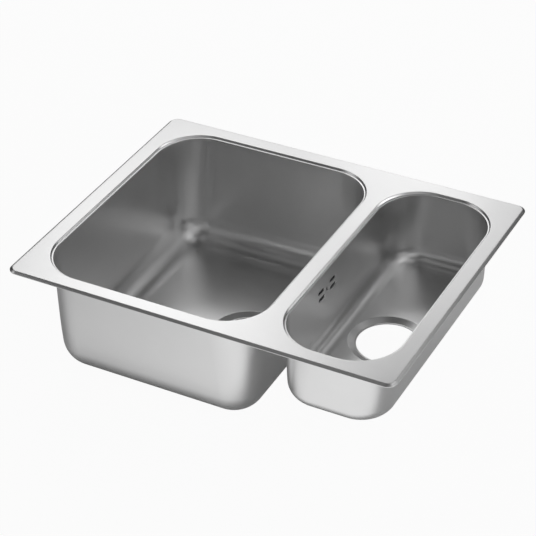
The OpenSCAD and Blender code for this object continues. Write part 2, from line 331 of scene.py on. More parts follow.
class Finish(Enum):
    """The finishes, under the record's slot names."""

    DECK = SatinSteel("deck_steel", (0.75, 0.75, 0.75), 0.3, (40.0, 2200.0, 2200.0))
    BOWL = SatinSteel("bowl_steel", (0.75, 0.75, 0.75), 0.3, (900.0, 900.0, 900.0))
    SEAL = Elastomer("seal_foam", (0.035, 0.035, 0.037), 1400.0, 0.00015)
    PAD = Elastomer("damping_pad", (0.05, 0.05, 0.053), 260.0, 0.0002)
    CLAMP = ZincPlate("clamp_steel", (0.6, 0.6, 0.59), 0.42, 700.0)
    SCREW = ZincPlate("screw_steel", (0.68, 0.67, 0.64), 0.3, 1500.0)


class Wardrobe:
    """Makes each finish once and hands it out."""

    def __init__(self) -> None:
        """Starts with nothing made."""
        self._made: dict[Finish, bpy.types.Material] = {}

    def dress(self, piece: bpy.types.Object, finish: Finish) -> None:
        """Gives a piece its finish, and the record's slot of the same name.

        Args:
            piece: The piece.
            finish: Its finish.
        """
        if finish not in self._made:
            self._made[finish] = finish.value.make()
        piece.data.materials.clear()
        piece.data.materials.append(self._made[finish])


class Boolean(Enum):
    """What closed shapes do to a piece."""

    CUT = "DIFFERENCE"
    ADD = "UNION"


@dataclass(frozen=True)
class Corner:
    """A corner of a section, in millimetres, and the radius that rounds it."""

    out: float
    up: float
    radius: float = 0.0


def turn_of(a: float, b: float) -> tuple[float, float]:
    """Finds where a folded sheet's underside turns, for each millimetre of its thickness.

    Args:
        a: The sheet's fall before the fold, in radians.
        b: Its fall after the fold.

    Returns:
        The shift out and up of the underside's corner.
    """
    na, nb = Vector((math.sin(a), -math.cos(a))), Vector((math.sin(b), -math.cos(b)))
    shift = (na + nb) / (1 + na.dot(nb))
    return shift.x, shift.y


def weld(bm: BMesh) -> None:
    """Merges a bmesh's doubled vertices."""
    bmesh.ops.remove_doubles(bm, verts=bm.verts[:], dist=WELD_DISTANCE)


def only(kind: type, geometry: Sequence[Any]) -> list[Any]:
    """Picks the vertices, or the edges, out of an operator's result."""
    return [part for part in geometry if isinstance(part, kind)]


def draw_section(corners: Sequence[Corner], arc_step: float = 8.0) -> BMesh:
    """Draws a section in the XZ plane by pulling one point along and spinning it at corners.

    Args:
        corners: The section's corners, with its two ends.
        arc_step: The largest step in an arc, in degrees.

    Returns:
        A new bmesh that holds the section's edges.
    """
    bm = bmesh.new()
    places = [Vector((c.out, 0, c.up)) * MM for c in corners]
    tip = bm.verts.new(places[0])

    def pull(to: Vector) -> BMVert:
        """Pulls the tip to a place.

        Args:
            to: The place, in metres.

        Returns:
            The new tip.
        """
        made = bmesh.ops.extrude_vert_indiv(bm, verts=[tip])["verts"][0]
        made.co = to
        return made

    for before, here, after, corner in zip(places, places[1:], places[2:], corners[1:]):
        if not corner.radius:
            tip = pull(here)
            continue
        way, next_way = (here - before).normalized(), (after - here).normalized()
        angle = math.atan2(way.x * next_way.z - way.z * next_way.x, way.dot(next_way))
        radius = corner.radius * MM
        tip = pull(here - way * radius * math.tan(abs(angle) / 2))
        side = Vector((-way.z, 0, way.x)) * math.copysign(radius, angle)
        steps = max(2, math.ceil(abs(math.degrees(angle)) / arc_step))
        spun = bmesh.ops.spin(
            bm, geom=[tip], cent=tip.co + side, axis=(0, -1, 0), angle=angle, steps=steps
        )
        tip = only(BMVert, spun["geom_last"])[0]
    pull(places[-1])
    return bm


@dataclass(frozen=True)
class RoundRect:
    """A rectangle with round corners, seen from above, in millimetres."""

    left: float
    right: float
    front: float
    back: float
    radius: float
    corner_steps: int = 24

    def grown(self, by: float) -> "RoundRect":
        """Gives the outline moved out by a distance, or in by a negative one."""
        return RoundRect(
            self.left - by, self.right + by, self.front - by, self.back + by,
            self.radius + by, self.corner_steps,
        )

    def sweep(self, bm: BMesh) -> BMesh:
        """Carries a section once round the outline: extruded along sides, spun at corners.

        Args:
            bm: Holds the section, whose X is the distance outside the outline.

        Returns:
            The same bmesh.
        """
        r = self.radius
        wide, deep = self.right - self.left - 2 * r, self.back - self.front - 2 * r
        left, right = self.left + r, self.right - r
        front, back = self.front + r, self.back - r
        bmesh.ops.translate(bm, vec=Vector((self.right, front, 0)) * MM, verts=bm.verts[:])
        edges = bm.edges[:]
        for run, centre in (
            ((0, deep), (right, back)), ((-wide, 0), (left, back)),
            ((0, -deep), (left, front)), ((wide, 0), (right, front)),
        ):
            made = bmesh.ops.extrude_edge_only(bm, edges=edges)["geom"]
            moved = only(BMVert, made)
            bmesh.ops.translate(bm, vec=Vector((*run, 0)) * MM, verts=moved)
            pulled = set(moved)
            ends = [e for e in only(BMEdge, made) if pulled.issuperset(e.verts)]
            spun = bmesh.ops.spin(
                bm, geom=moved + ends, cent=Vector((*centre, 0)) * MM, axis=(0, 0, 1),
                angle=math.pi / 2, steps=self.corner_steps,
            )
            edges = only(BMEdge, spun["geom_last"])
        weld(bm)
        return bm


def tighten_corners(bm: BMesh, outline: RoundRect, by: float, start: float, end: float) -> BMesh:
    """Makes a swept shape's corners tighter on the way down, and leaves its sides in place.

    Args:
        bm: The swept shape.
        outline: The outline that it was swept round.
        by: How much smaller the corners' radius gets, in millimetres.
        start: The height at which the change starts.
        end: The height at which it ends.

    Returns:
        The same bmesh.
    """
    half_x = (outline.right - outline.left) / 2 - outline.radius
    half_y = (outline.back - outline.front) / 2 - outline.radius
    middle = Vector(((outline.left + outline.right) / 2, (outline.front + outline.back) / 2))
    for v in bm.verts:
        share = min(1.0, max(0.0, (start - v.co.z / MM) / (start - end)))
        shrink = by * share * share * (3 - 2 * share)
        place = v.co.xy / MM - middle
        side = Vector((math.copysign(1, place.x), math.copysign(1, place.y)))
        spoke = Vector((abs(place.x) - half_x, abs(place.y) - half_y))
        moved = spoke - spoke.normalized() * shrink + Vector((shrink, shrink))
        v.co.x = (middle.x + side.x * (half_x + moved.x)) * MM
        v.co.y = (middle.y + side.y * (half_y + moved.y)) * MM
    return bm


def spin_round(bm: BMesh, x: float, y: float, steps: int = 96) -> BMesh:
    """Turns a section once round an upright axis.

    Args:
        bm: Holds the section, whose X is the distance from the axis.
        x: The axis's place, in millimetres.
        y: The axis's place, in millimetres.
        steps: How many steps the turn has.

    Returns:
        The same bmesh.
    """
    axis = Vector((x, y, 0)) * MM
    bmesh.ops.translate(bm, vec=axis, verts=bm.verts[:])
    bmesh.ops.spin(
        bm, geom=bm.verts[:] + bm.edges[:], cent=axis, axis=(0, 0, 1),
        angle=2 * math.pi, steps=steps, use_merge=True,
    )
    weld(bm)
    return bm


def joined(parts: Sequence[BMesh]) -> BMesh:
    """Puts several bmeshes into the first and frees the others.

    Args:
        parts: The bmeshes.

    Returns:
        The first of them.
    """
    first, *others = parts
    for other in others:
        carrier = bpy.data.meshes.new("carrier")
        other.to_mesh(carrier)
        other.free()
        first.from_mesh(carrier)
        bpy.data.meshes.remove(carrier)
    return first


def fill_level(bm: BMesh, height: float) -> None:
    """Fills the flat sheet between the open edges at one height.

    Args:
        bm: The bmesh.
        height: The height, in millimetres.
    """
    level = [
        e for e in bm.edges
        if e.is_boundary and all(abs(v.co.z - height * MM) < WELD_DISTANCE for v in e.verts)
    ]
    bmesh.ops.triangle_fill(bm, edges=level, use_beauty=True, use_dissolve=False)


def finished(bm: BMesh, name: str) -> bpy.types.Object:
    """Turns a bmesh into an object in the scene, smooth where its faces turn gently.

    Args:
        bm: The bmesh, which is freed.
        name: The object's name.

    Returns:
        The object.
    """
    bmesh.ops.recalc_face_normals(bm, faces=bm.faces[:])
    mesh = bpy.data.meshes.new(name)
    bm.to_mesh(mesh)
    bm.free()
    mesh.polygons.foreach_set("use_smooth", [True] * len(mesh.polygons))
    mesh.set_sharp_from_angle(angle=SMOOTH_ANGLE)
    piece = bpy.data.objects.new(name, mesh)
    bpy.context.scene.collection.objects.link(piece)
    return piece


def combine(piece: bpy.types.Object, shapes: BMesh, boolean: Boolean = Boolean.CUT) -> None:
    """Cuts closed shapes out of a piece or adds them to it, and applies that to its mesh.

    Args:
        piece: The piece.
        shapes: The shapes, which are freed.
        boolean: What they do.
    """
    tool = finished(shapes, "tool")
    modifier = piece.modifiers.new("combine", "BOOLEAN")
    modifier.operation, modifier.solver, modifier.object = boolean.value, "EXACT", tool
    whole = piece.evaluated_get(bpy.context.evaluated_depsgraph_get())
    mesh = bpy.data.meshes.new_from_object(whole)
    piece.modifiers.clear()
    bm = bmesh.new()
    bm.from_mesh(mesh)
    weld(bm)
    bmesh.ops.dissolve_degenerate(bm, dist=WELD_DISTANCE, edges=bm.edges[:])
    bm.to_mesh(mesh)
    bm.free()
    old, piece.data = piece.data, mesh
    mesh.name = piece.name
    bpy.data.meshes.remove(old)
    bpy.data.meshes.remove(tool.data)
    mesh.set_sharp_from_angle(angle=SMOOTH_ANGLE)


@dataclass(frozen=True)
class RimForm:
    """The sizes that the deck shares with the bowls."""

    sheet: float = 1.0
    width: float = 580.0
    depth: float = 460.0
    lip_run: float = 3.9
    lip_drop: float = 2.7
    flat_radius: float = 11.1
    step_run: float = 1.6
    step_drop: float = 3.1
    ledge_run: float = 2.4
    ledge_drop: float = 0.4

    @property
    def lip_angle(self) -> float:
        """The lip's fall, in radians."""
        return math.atan(self.lip_drop / self.lip_run)

    @property
    def step_angle(self) -> float:
        """The step's fall, in radians."""
        return math.atan(self.step_drop / self.step_run)

    @property
    def ledge_angle(self) -> float:
        """The ledge's fall, in radians."""
        return math.atan(self.ledge_drop / self.ledge_run)

    @property
    def top(self) -> float:
        """Height of the deck's flat top."""
        return self.lip_drop + self.sheet / math.cos(self.lip_angle)

    @property
    def mouth_in(self) -> float:
        """From an opening's edge in to the bowl's mouth."""
        return self.step_run + self.ledge_run

    @property
    def ledge_low(self) -> float:
        """Height of the ledge's inner edge."""
        return self.top - self.step_drop - self.ledge_drop

    @property
    def flange_top(self) -> float:
        """Height at which a bowl's flange meets its mouth."""
        return self.ledge_low - self.sheet / math.cos(self.ledge_angle)


RIM = RimForm()
LARGE_OPENING = RoundRect(-264.2, 74.2, -206.4, 204.3, 69.0)
SMALL_OPENING = RoundRect(96.5, 265.6, -206.4, 204.3, 69.0)


@dataclass
class Deck:
    """The pressed top: flat sheet, sloping lip, and a step and ledge round each opening.

    The fold, foot and mouth of the step have a radius above the sheet and one under it.
    """

    rim: RimForm = RIM
    openings: tuple[RoundRect, ...] = (LARGE_OPENING, SMALL_OPENING)
    lip_bend: float = 1.4
    lip_edge: float = 0.25
    fold: tuple[float, float] = (1.0, 0.4)
    foot: tuple[float, float] = (0.8, 1.0)
    mouth: tuple[float, float] = (0.7, 0.1)

    def _lip(self) -> BMesh:
        """Sweeps the lip round the flat top.

        Returns:
            The lip, with a strip of the flat.
        """
        rim = self.rim
        under, up = turn_of(0, rim.lip_angle)
        section = draw_section([
            Corner(-STRIP, rim.top),
            Corner(0, rim.top, self.lip_bend),
            Corner(rim.lip_run, rim.top - rim.lip_drop, self.lip_edge),
            Corner(rim.lip_run, 0, self.lip_edge),
            Corner(-under * rim.sheet, rim.top + up * rim.sheet, self.lip_bend - rim.sheet / 2),
            Corner(-STRIP, rim.top - rim.sheet),
        ])
        x, y = rim.width / 2 - rim.lip_run, rim.depth / 2 - rim.lip_run
        return RoundRect(-x, x, -y, y, rim.flat_radius).sweep(section)

    def _step(self, opening: RoundRect) -> BMesh:
        """Sweeps the step and ledge round an opening.

        Args:
            opening: The opening's outline.

        Returns:
            The step and ledge, with a strip of the flat.
        """
        rim = self.rim
        low = rim.top - rim.step_drop
        fold_out, fold_up = turn_of(0, rim.step_angle)
        foot_out, foot_up = turn_of(rim.step_angle, rim.ledge_angle)
        section = draw_section([
            Corner(STRIP, rim.top),
            Corner(0, rim.top, self.fold[0]),
            Corner(-rim.step_run, low, self.foot[0]),
            Corner(-rim.mouth_in, rim.ledge_low, self.mouth[0]),
            Corner(-rim.mouth_in, rim.flange_top, self.mouth[1]),
            Corner(foot_out * rim.sheet - rim.step_run, low + foot_up * rim.sheet, self.foot[1]),
            Corner(fold_out * rim.sheet, rim.top + fold_up * rim.sheet, self.fold[1]),
            Corner(STRIP, rim.top - rim.sheet),
        ])
        return opening.sweep(section)

    def build(self, wardrobe: Wardrobe) -> bpy.types.Object:
        """Builds the deck in place of its CAD node.

        Args:
            wardrobe: Gives the finish.

        Returns:
            The deck.
        """
        bm = joined([self._lip(), *(self._step(opening) for opening in self.openings)])
        fill_level(bm, self.rim.top)
        fill_level(bm, self.rim.top - self.rim.sheet)
        piece = finished(bm, "deck_sheet")
        wardrobe.dress(piece, Finish.DECK)
        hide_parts("deck")
        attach(piece, "root")
        return piece


@dataclass
class Bowl:
    """A drawn bowl: weld flange, drafted walls, floor radius and a recess for the waste.

    The recess's bend and foot have a radius inside and one outside. Its outside is sunk a hair
    into the floor's sheet, so that the two join.
    """

    name: str
    opening: RoundRect
    depth: float
    fillet: float
    drain: tuple[float, float]
    rim: RimForm = RIM
    draft: float = math.radians(3.5)
    tighter: float = 11.0
    wall_rows: int = 8
    arc_step: float = 5.0
    mouth_round: float = 0.3
    flange_edge: float = 0.2
    flange_bend: float = 1.2
    drain_radius: float = 44.5
    recess_radius: float = 56.5
    recess_depth: float = 4.0
    recess_slope: float = 9.5
    recess_bend: tuple[float, float] = (2.0, 0.8)
    recess_foot: tuple[float, float] = (1.2, 1.8)
    sunk: float = 0.02

    @property
    def floor(self) -> float:
        """Height of the floor."""
        return self.rim.top - self.depth

    @property
    def recess_angle(self) -> float:
        """The fall of the recess's side, in radians."""
        return math.atan(self.recess_depth / self.recess_slope)

    def _walls(self) -> BMesh:
        """Sweeps flange, wall and floor radius round the mouth, and fills the floor.

        Returns:
            The closed bowl, without its recess.
        """
        rim, sheet = self.rim, self.rim.sheet
        top, fall = rim.flange_top, math.pi / 2 - self.draft
        lean = math.tan(self.draft) * (top - self.floor)
        reach = lean + self.fillet * math.tan(fall / 2) + STRIP
        bend_out, bend_up = turn_of(rim.ledge_angle, fall)
        foot_out, foot_up = turn_of(fall, 0)
        knee = self.floor + self.fillet
        heights = [knee + (top - knee) * i / self.wall_rows for i in range(1, self.wall_rows)]
        inside = [Corner(-math.tan(self.draft) * (top - z), z) for z in heights]
        skin = sheet / math.cos(self.draft)
        outside = [Corner(row.out + skin, row.up) for row in reversed(inside)]
        edge, edge_sheet = top + rim.ledge_drop, sheet / math.cos(rim.ledge_angle)
        section = draw_section([
            Corner(-reach, self.floor),
            Corner(-lean, self.floor, self.fillet),
            *inside,
            Corner(0, top, self.mouth_round),
            Corner(rim.ledge_run, edge, self.flange_edge),
            Corner(rim.ledge_run, edge - edge_sheet, self.flange_edge),
            Corner(bend_out * sheet, top + bend_up * sheet, self.flange_bend),
            *outside,
            Corner(foot_out * sheet - lean, self.floor + foot_up * sheet, self.fillet + sheet),
            Corner(-reach, self.floor - sheet),
        ], self.arc_step)
        mouth = self.opening.grown(-rim.mouth_in)
        bm = tighten_corners(mouth.sweep(section), mouth, self.tighter, top, knee)
        fill_level(bm, self.floor)
        fill_level(bm, self.floor - sheet)
        return bm

    def _cup(self) -> BMesh:
        """Turns the outside of the drain's recess, which reaches into the floor's sheet.

        Returns:
            The closed cup.
        """
        sheet, floor = self.rim.sheet, self.floor
        out, up = turn_of(0, self.recess_angle)
        low = floor - self.recess_depth
        inner = self.recess_radius - self.recess_slope
        edge = self.recess_radius + STRIP
        return spin_round(draw_section([
            Corner(0, floor - self.sunk),
            Corner(edge, floor - self.sunk),
            Corner(edge, floor - sheet + self.sunk),
            Corner(
                self.recess_radius + out * sheet, floor + up * sheet + self.sunk,
                self.recess_bend[1],
            ),
            Corner(inner + out * sheet, low + up * sheet, self.recess_foot[1]),
            Corner(0, low - sheet),
        ]), *self.drain)

    def _hollow(self) -> BMesh:
        """Turns the inside of the recess, which runs up through the floor, and the drain's hole.

        Returns:
            The closed cutter.
        """
        edge = self.recess_radius + self.recess_bend[0] * math.tan(self.recess_angle / 2)
        low = self.floor - self.recess_depth
        above, below = self.floor + self.fillet / 2, low - 2 * self.rim.sheet
        return spin_round(draw_section([
            Corner(0, above),
            Corner(edge, above),
            Corner(edge, self.floor - self.sunk),
            Corner(self.recess_radius, self.floor - self.sunk, self.recess_bend[0]),
            Corner(self.recess_radius - self.recess_slope, low, self.recess_foot[0]),
            Corner(self.drain_radius, low),
            Corner(self.drain_radius, below),
            Corner(0, below),
        ]), *self.drain)

    def build(self, wardrobe: Wardrobe) -> bpy.types.Object:
        """Builds the bowl in place of its CAD node.

        Args:
            wardrobe: Gives the finish.

        Returns:
            The bowl.
        """
        piece = finished(self._walls(), f"{self.name}_shell")
        combine(piece, self._cup(), Boolean.ADD)
        combine(piece, self._hollow())
        wardrobe.dress(piece, Finish.BOWL)
        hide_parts(self.name)
        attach(piece, "root")
        return piece


@dataclass
class OverflowBowl(Bowl):
    """The small bowl, whose left wall has four overflow slots round a screw hole."""

    slot: tuple[float, float] = (17.8, 5.2)
    pitch: tuple[float, float] = (34.6, 10.8)
    screw_hole: float = 5.5
    overflow: tuple[float, float] = (-34.9, -28.684)
    cut: float = 12.0
    segments: int = 24

    def _slot(self, y: float, z: float, length: float, height: float) -> BMesh:
        """Makes a cutter with round ends along X.

        Args:
            y: Its centre.
            z: Its centre.
            length: Its length along Y.
            height: Its height.

        Returns:
            The closed cutter.
        """
        bm = bmesh.new()
        bmesh.ops.create_circle(bm, cap_ends=True, segments=self.segments, radius=height / 2 * MM)
        bmesh.ops.rotate(bm, matrix=Matrix.Rotation(math.pi / 2, 3, "Y"), verts=bm.verts[:])
        for side in (-1, 1):
            half = [v for v in bm.verts if v.co.y * side > WELD_DISTANCE]
            apart = Vector((0, side * (length - height) / 2, 0)) * MM
            bmesh.ops.translate(bm, vec=apart, verts=half)
        start = Vector((self.opening.left + self.rim.mouth_in - self.cut / 2, y, z)) * MM
        bmesh.ops.translate(bm, vec=start, verts=bm.verts[:])
        made = bmesh.ops.extrude_face_region(bm, geom=bm.faces[:])["geom"]
        bmesh.ops.translate(bm, vec=Vector((self.cut, 0, 0)) * MM, verts=only(BMVert, made))
        return bm

    def build(self, wardrobe: Wardrobe) -> bpy.types.Object:
        """Builds the bowl and cuts its overflow.

        Args:
            wardrobe: Gives the finish.

        Returns:
            The bowl.
        """
        piece = super().build(wardrobe)
        y, z = self.overflow
        cutters = [self._slot(y, z, self.screw_hole, self.screw_hole)]
        for dy in (-self.pitch[0] / 2, self.pitch[0] / 2):
            for dz in (-self.pitch[1] / 2, self.pitch[1] / 2):
                cutters.append(self._slot(y + dy, z + dz, *self.slot))
        combine(piece, joined(cutters))
        return piece


@dataclass
class RimSeal:
    """The foam strip between the rim and the worktop."""

    outline: RoundRect = RoundRect(-280.4, 280.4, -220.4, 220.4, 8.6)
    width: float = 5.0
    height: float = RIM.top - RIM.sheet
    crown: float = 0.9
    arc_step: float = 20.0

    def build(self, wardrobe: Wardrobe) -> bpy.types.Object:
        """Builds the seal in place of its CAD node.

        Args:
            wardrobe: Gives the finish.

        Returns:
            The seal.
        """
        section = draw_section([
            Corner(self.width / 2, 0),
            Corner(self.width, 0, self.crown),
            Corner(self.width, self.height, self.crown),
            Corner(0, self.height, self.crown),
            Corner(0, 0, self.crown),
            Corner(self.width / 2, 0),
        ], self.arc_step)
        piece = finished(self.outline.sweep(section), "rim_seal_strip")
        wardrobe.dress(piece, Finish.SEAL)
        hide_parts("rim_seal")
        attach(piece, "root")
        return piece


@dataclass
class SoundPad:
    """A damping pad stuck under a bowl's floor."""

    node: str
    radius: float = 8.0
    corner_steps: int = 8
    edge: float = 0.6
    arc_step: float = 20.0

    def build(self, wardrobe: Wardrobe) -> bpy.types.Object:
        """Builds the pad over its CAD node.

        Args:
            wardrobe: Gives the finish.

        Returns:
            The pad.
        """
        low, high = (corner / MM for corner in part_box(self.node))
        section = draw_section([
            Corner(-STRIP, high.z),
            Corner(0, high.z, self.edge / 3),
            Corner(0, low.z, self.edge),
            Corner(-STRIP, low.z),
        ], self.arc_step)
        outline = RoundRect(low.x, high.x, low.y, high.y, self.radius, self.corner_steps)
        bm = outline.sweep(section)
        fill_level(bm, high.z)
        fill_level(bm, low.z)
        piece = finished(bm, f"{self.node}_sheet")
        wardrobe.dress(piece, Finish.PAD)
        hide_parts(self.node)
        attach(piece, "root")
        return piece


@dataclass
class GapShadePatch:
    """A dark patch on the large bowl's wall, where it faces the overflow slots: painted shade that
    makes the slots look dark, not a coat that the sink has.

    Its patch is drawn flat, where X is the distance down the wall from the bowl's flange.
    """

    rim: RimForm = RIM
    draft: float = Bowl.draft
    patch: RoundRect = RoundRect(22.0, 128.0, -62.0, 120.0, 12.0, 8)
    thickness: float = 0.4
    sunk: float = 0.05
    arc_step: float = 30.0

    def build(self, wardrobe: Wardrobe) -> bpy.types.Object:
        """Builds the painted-shade patch flat and lays it on the leaning wall.

        Args:
            wardrobe: Gives the finish.

        Returns:
            The patch.
        """
        section = draw_section([
            Corner(-STRIP, self.thickness),
            Corner(0, self.thickness, self.thickness / 2),
            Corner(0, -self.sunk),
            Corner(-STRIP, -self.sunk),
        ], self.arc_step)
        bm = self.patch.sweep(section)
        fill_level(bm, self.thickness)
        fill_level(bm, -self.sunk)
        lay = Matrix.Rotation(math.pi / 2 + self.draft, 3, "Y")
        bmesh.ops.rotate(bm, matrix=lay, verts=bm.verts[:])
        face = LARGE_OPENING.right - self.rim.mouth_in + self.rim.sheet / math.cos(self.draft)
        home = Vector((face, 0, self.rim.flange_top)) * MM
        bmesh.ops.translate(bm, vec=home, verts=bm.verts[:])
        # The damping pad's dark material, used here as painted shade in the gap between the bowls.
        piece = finished(bm, "gap_painted_shade")
        wardrobe.dress(piece, Finish.PAD)
        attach(piece, "root")
        return piece


def skin_of(node: str, edge: float) -> bpy.types.Object:
    """Copies a CAD node with its loose triangles joined and its sharp edges eased.

    Args:
        node: The CAD node.
        edge: The width of the eased edges, in millimetres.

    Returns:
        The copy, which replaces the node.
    """
    bm = bmesh.new()
    bm.from_mesh(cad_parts[node].data)
    weld(bm)
    bmesh.ops.dissolve_limit(bm, angle_limit=FLAT_ANGLE, verts=bm.verts[:], edges=bm.edges[:])
    sharp = [e for e in bm.edges if e.is_manifold and abs(e.calc_face_angle(0)) > SMOOTH_ANGLE]
    bmesh.ops.bevel(
        bm, geom=sharp, affect="EDGES", offset=edge * MM, segments=2, profile=0.5,
        material=-1, clamp_overlap=True,
    )
    piece = finished(bm, f"{node}_part")
    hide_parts(node)
    return piece


@dataclass
class RimClamp:
    """One clamp of the rim: a captive screw, its wedge nut and a toothed claw.

    Its turn is about Z, in degrees, from one whose screw stands inside the right edge.
    """

    name: str
    x: float
    y: float
    turn: float
    screw_in: float = 10.2
    head_top: float = -10.084
    head_height: float = 2.4
    head_radius: float = 3.8
    head_round: float = 1.4
    head_edge: float = 0.2
    head_steps: int = 32
    head_arc_step: float = 15.0
    shaft_radius: float = 2.0
    shaft_top: float = 2.616
    collar_low: float = -8.884
    collar_height: float = 0.6
    collar_edge: float = 0.15
    thread_pitch: float = 0.7
    thread_depth: float = 0.4
    thread_steps: int = 16
    drive: tuple[float, float, float] = (4.6, 1.0, 1.3)
    drive_taper: tuple[float, float] = (0.5, 0.8)
    drive_turn: float = math.radians(20)
    eased: tuple[tuple[str, float], ...] = (("nut", 0.25), ("claw", 0.15))

    def _place(self, bm: BMesh) -> BMesh:
        """Moves a bmesh from the screw's own axis to this clamp.

        Args:
            bm: The bmesh.

        Returns:
            The same bmesh.
        """
        home = Matrix.Translation(Vector((self.x, self.y, 0)) * MM)
        turned = Matrix.Rotation(math.radians(self.turn), 4, "Z")
        inward = Matrix.Translation(Vector((-self.screw_in, 0, 0)) * MM)
        bmesh.ops.transform(bm, matrix=home @ turned @ inward, verts=bm.verts[:])
        return bm

    def _thread(self) -> BMesh:
        """Spins the thread up its screw, and trims both ends flat.

        Returns:
            The threaded shaft.
        """
        low, high = self.collar_low + self.collar_height / 2, self.shaft_top
        root = self.shaft_radius - self.thread_depth
        start = low - self.thread_pitch
        bm = bmesh.new()
        tip = bm.verts.new(Vector((root, 0, start)) * MM)
        for radius, up in ((self.shaft_radius, 0.5), (root, 1.0)):
            made = bmesh.ops.extrude_vert_indiv(bm, verts=[tip])
            tip = made["verts"][0]
            tip.co = Vector((radius, 0, start + up * self.thread_pitch)) * MM
        turns = math.ceil((high - start) / self.thread_pitch) + 1
        rise = self.thread_pitch / self.thread_steps * MM
        bmesh.ops.spin(
            bm, geom=bm.verts[:] + bm.edges[:], axis=(0, 0, 1), cent=(0, 0, 0),
            dvec=(0, 0, rise), angle=2 * math.pi * turns, steps=self.thread_steps * turns,
        )
        weld(bm)
        for level, way in ((low, -1), (high, 1)):
            bmesh.ops.bisect_plane(
                bm, geom=bm.verts[:] + bm.edges[:] + bm.faces[:], clear_outer=True,
                plane_co=Vector((0, 0, level)) * MM, plane_no=(0, 0, way),
            )
        weld(bm)
        bmesh.ops.dissolve_degenerate(bm, dist=WELD_DISTANCE, edges=bm.edges[:])
        bmesh.ops.holes_fill(bm, edges=[e for e in bm.edges if e.is_boundary], sides=0)
        return bm

    def _head(self) -> BMesh:
        """Turns the pan head, the plain neck and the pressed collar.

        Returns:
            The closed lower end of the screw.
        """
        bottom = self.head_top - self.head_height
        collar = self.shaft_radius + self.collar_height
        collar_top = self.collar_low + self.collar_height
        section = draw_section([
            Corner(0, bottom),
            Corner(self.head_radius, bottom, self.head_round),
            Corner(self.head_radius, self.head_top, self.head_edge),
            Corner(self.shaft_radius, self.head_top),
            Corner(self.shaft_radius, self.collar_low),
            Corner(collar, self.collar_low, self.collar_edge),
            Corner(collar, collar_top, self.collar_edge),
            Corner(0, collar_top),
        ], self.head_arc_step)
        return spin_round(section, 0, 0, self.head_steps)

    def _bar(self, angle: float) -> BMesh:
        """Makes the cutter for one arm of the head's cross recess.

        Args:
            angle: Its turn about the screw, in radians.

        Returns:
            A closed wedge, narrower at its inner end.
        """
        length, width, deep = self.drive
        bm = bmesh.new()
        bmesh.ops.create_cube(bm, size=1.0)
        bmesh.ops.scale(bm, vec=Vector((length, width, 2 * deep)) * MM, verts=bm.verts[:])
        inner = [v for v in bm.verts if v.co.z > 0]
        bmesh.ops.scale(bm, vec=Vector((*self.drive_taper, 1)), verts=inner)
        bmesh.ops.rotate(bm, matrix=Matrix.Rotation(angle, 3, "Z"), verts=bm.verts[:])
        bottom = self.head_top - self.head_height
        bmesh.ops.translate(bm, vec=Vector((0, 0, bottom)) * MM, verts=bm.verts[:])
        return bm

    def build(self, wardrobe: Wardrobe) -> list[bpy.types.Object]:
        """Builds the clamp's moving pieces in place of their CAD nodes.

        Args:
            wardrobe: Gives the finishes.

        Returns:
            The screw, the nut and the claw.
        """
        screw = finished(self._place(self._head()), f"screw_{self.name}_part")
        for angle in (self.drive_turn, self.drive_turn + math.pi / 2):
            combine(screw, self._place(self._bar(angle)))
        shaft = finished(self._place(self._thread()), f"screw_{self.name}_thread")
        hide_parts(f"screw_{self.name}")
        pieces = [screw, shaft]
        for piece in pieces:
            wardrobe.dress(piece, Finish.SCREW)
            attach(piece, f"screw_{self.name}")
        for part, edge in self.eased:
            piece = skin_of(f"{part}_{self.name}", edge)
            wardrobe.dress(piece, Finish.CLAMP)
            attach(piece, f"{part}_{self.name}")
            pieces.append(piece)
        return pieces


@dataclass
class ClampSet:
    """The eight clamps, with their welded lugs and riveted pins.

    fixed gives the nodes that don't move, with the width of their eased edges.
    """

    reach_x: float = 170.0
    reach_y: float = 110.0
    edge_x: float = 280.0
    edge_y: float = 220.0
    fixed: tuple[tuple[str, float], ...] = (("clamp_lugs", 0.12), ("clamp_pins", 0.12))

    def clamps(self) -> list[RimClamp]:
        """Lists the clamps where the CAD has them.

        Returns:
            The clamps.
        """
        x, y, ex, ey = self.reach_x, self.reach_y, self.edge_x, self.edge_y
        return [
            RimClamp("front_left", -x, -ey, -90), RimClamp("front_right", x, -ey, -90),
            RimClamp("right_front", ex, -y, 0), RimClamp("right_back", ex, y, 0),
            RimClamp("back_right", x, ey, 90), RimClamp("back_left", -x, ey, 90),
            RimClamp("left_back", -ex, y, 180), RimClamp("left_front", -ex, -y, 180),
        ]

    def build(self, wardrobe: Wardrobe) -> list[bpy.types.Object]:
        """Builds every clamp.

        Args:
            wardrobe: Gives the finishes.

        Returns:
            All the pieces.
        """
        pieces = []
        for node, edge in self.fixed:
            piece = skin_of(node, edge)
            wardrobe.dress(piece, Finish.CLAMP)
            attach(piece, "root")
            pieces.append(piece)
        for clamp in self.clamps():
            pieces += clamp.build(wardrobe)
        return pieces


@dataclass(frozen=True)
class Softbox:
    """A square softbox that faces the sink, with its size and distance in metres.

    Its azimuth runs clockwise from the back, in degrees.
    """

    azimuth: float
    elevation: float
    power: float
    size: float = 1.15
    distance: float = 2.2

    def hang(self) -> None:
        """Hangs the softbox."""
        around, up = math.radians(self.azimuth), math.radians(self.elevation)
        way = Vector((
            math.sin(around) * math.cos(up), math.cos(around) * math.cos(up), math.sin(up)
        ))
        light = bpy.data.lights.new(f"softbox_{self.azimuth}_{self.elevation}", "AREA")
        light.size, light.energy = self.size, self.power
        lamp = bpy.data.objects.new(light.name, light)
        lamp.location = way * self.distance
        lamp.rotation_mode = "QUATERNION"
        lamp.rotation_quaternion = (-way).to_track_quat("-Z", "Y")
        bpy.context.scene.collection.objects.link(lamp)


